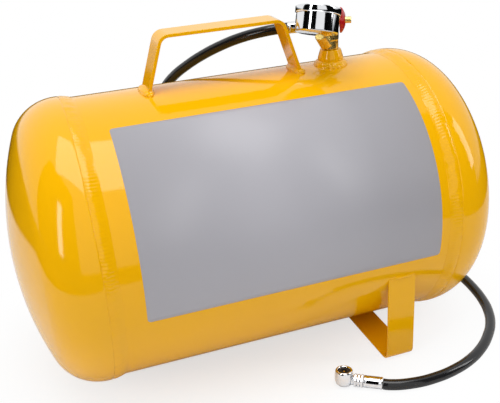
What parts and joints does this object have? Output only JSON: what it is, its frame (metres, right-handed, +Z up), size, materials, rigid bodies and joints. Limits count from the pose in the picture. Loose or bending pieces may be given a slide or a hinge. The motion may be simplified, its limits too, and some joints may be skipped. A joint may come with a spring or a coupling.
{
  "type": "air receiver tank",
  "caption": "Horizontal welded air tank with strap handle, strap foot, brass manifold with gauge and knob valve, relief valve, and a rubber hose with tyre chuck.",
  "frame": {"origin": "on the floor under the middle of the tank, cord pieces left out", "axes": "+X along the tank towards the end with the manifold and the foot, +Y away from the gauge, +Z up"},
  "size_m": [0.4527, 0.344, 0.3166],
  "materials": {
    "paint": "gloss",
    "weld": "semi-gloss, rippled",
    "brass": "machined",
    "chrome": "polished",
    "steel": "bright wire",
    "dial": "matt",
    "lens": "clear",
    "pointer": "satin",
    "knob": "gloss",
    "hose": "smooth, semi-gloss",
    "seal": "matt"
  },
  "bodies": {
    "tank": {"tank_shell": "paint", "head_left": "paint", "head_right": "paint", "seam_weld_left": "weld", "seam_weld_right": "weld", "carry_handle": "paint", "handle_weld_left": "weld", "handle_weld_right": "weld", "foot_strap": "paint", "foot_weld_front": "weld", "foot_weld_back": "weld", "bung": "paint", "bung_weld": "weld", "manifold_body": "brass", "gauge_case": "chrome", "gauge_bezel": "chrome", "gauge_dial": "dial", "gauge_lens": "lens", "gauge_movement": "brass", "gauge_socket": "brass", "bourdon_tube": "brass", "valve_bonnet": "brass", "relief_valve_body": "brass", "relief_cap": "brass", "hose_fitting": "brass", "hose_ferrule_tank": "chrome", "air_hose": "hose", "hose_ferrule_chuck": "chrome", "chuck_nipple": "chrome", "chuck_head": "chrome", "chuck_seal": "seal", "chuck_pin": "brass"},
    "valve_spindle": {"valve_spindle": "brass", "control_knob": "knob", "fill_valve_core": "steel"},
    "valve_plug": {"valve_plug": "brass"},
    "fill_valve_pin": {"fill_valve_pin": "brass"},
    "gauge_pointer": {"gauge_pointer": "pointer"},
    "relief_stem": {"relief_stem": "brass", "relief_spring": "steel"},
    "relief_pull_ring": {"relief_pull_ring": "steel"}
  },
  "joints": [
    {"name": "knob_turn", "type": "hinge", "parent": "tank", "child": "valve_spindle", "pos_m": [0.0897, 0, 0.2918], "axis": [0.891, -0.454, 0], "range_deg": [0, 720]},
    {"name": "plug_travel", "type": "slide", "parent": "tank", "child": "valve_plug", "axis": [0.891, -0.454, 0], "range_m": [0, 0.0025]},
    {"name": "fill_pin_press", "type": "slide", "parent": "valve_spindle", "child": "fill_valve_pin", "axis": [-0.891, 0.454, 0], "range_m": [0, 0.0008], "stiffness_N_per_m": 300},
    {"name": "gauge_needle", "type": "hinge", "parent": "tank", "child": "gauge_pointer", "pos_m": [0.06632, -0.02543, 0.29906], "axis": [-0.2426, -0.2638, -0.9336], "range_deg": [0, 270], "stiffness_Nm_per_rad": 0.0002},
    {"name": "relief_lift", "type": "slide", "parent": "tank", "child": "relief_stem", "axis": [0.2588, 0.9659, 0], "range_m": [0, 0.002], "stiffness_N_per_m": 3000, "springref_m": -0.001},
    {"name": "pull_ring_swing", "type": "hinge", "parent": "relief_stem", "child": "relief_pull_ring", "pos_m": [0.09785, 0.03043, 0.2923], "axis": [0.9659, -0.2588, 0], "range_deg": [-12, 90]}
  ],
  "couplings": [
    {"joint": "knob_turn", "follows": "plug_travel", "rad_per_m": 5026.5}
  ]
}
